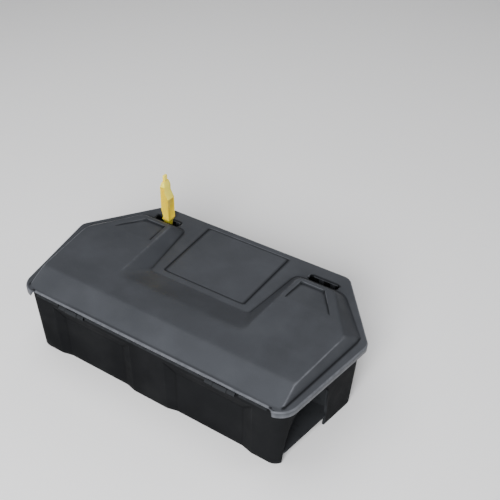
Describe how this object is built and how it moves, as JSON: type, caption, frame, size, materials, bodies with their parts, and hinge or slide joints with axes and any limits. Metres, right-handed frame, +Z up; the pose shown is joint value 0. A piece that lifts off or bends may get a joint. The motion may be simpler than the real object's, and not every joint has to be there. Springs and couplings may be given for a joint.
{
  "type": "bait station",
  "caption": "Tamper-resistant rodent bait station: a low six-sided box with a hinged keyed lid, an entrance in each end, and a tray of bait on rods inside.",
  "frame": {"origin": "on the ground under the middle of the box", "axes": "+X along the hinge edge, +Y from the hinge edge to the lock edge, +Z up"},
  "size_m": [0.3406, 0.192, 0.137],
  "materials": {
    "black_plastic": "fine-grained moulded black",
    "lid_plastic": "fine-grained moulded charcoal black, satin",
    "tray_plastic": "moulded dark grey",
    "key_plastic": "yellow moulded, satin",
    "steel": "drawn wire, zinc plated",
    "spring_steel": "drawn spring wire",
    "wax": "moulded wax with grain, dull"
  },
  "bodies": {
    "base": {"base": "black_plastic", "bait_tray": "tray_plastic", "hinge_pin_left": "black_plastic", "latch_spring_left": "spring_steel", "latch_cover_left": "tray_plastic", "bait_rod_left": "steel", "cover_screw_left_inner": "steel", "bait_block_left_inner": "wax", "cover_screw_left_outer": "steel", "bait_block_left_outer": "wax", "hinge_pin_right": "black_plastic", "latch_spring_right": "spring_steel", "latch_cover_right": "tray_plastic", "bait_rod_right": "steel", "cover_screw_right_inner": "steel", "bait_block_right_inner": "wax", "cover_screw_right_outer": "steel", "bait_block_right_outer": "wax"},
    "lid": {"lid": "lid_plastic"},
    "key": {"key": "key_plastic"},
    "latch_left": {"latch_left": "black_plastic"},
    "latch_right": {"latch_right": "black_plastic"}
  },
  "joints": [
    {"name": "lid_hinge", "type": "hinge", "parent": "base", "child": "lid", "pos_m": [0, -0.093, 0.075], "axis": [1, 0, 0], "range_deg": [0, 105]},
    {"name": "key_slide", "type": "slide", "parent": "lid", "child": "key", "axis": [0, 0, 1], "range_m": [0, 0.05]},
    {"name": "latch_left_slide", "type": "slide", "parent": "base", "child": "latch_left", "axis": [0, 1, 0], "range_m": [0, 0.005], "stiffness_N_per_m": 300, "springref_m": 0.009, "deforming": ["latch_spring_left"]},
    {"name": "latch_right_slide", "type": "slide", "parent": "base", "child": "latch_right", "axis": [0, 1, 0], "range_m": [0, 0.005], "stiffness_N_per_m": 300, "springref_m": 0.009, "deforming": ["latch_spring_right"]}
  ]
}
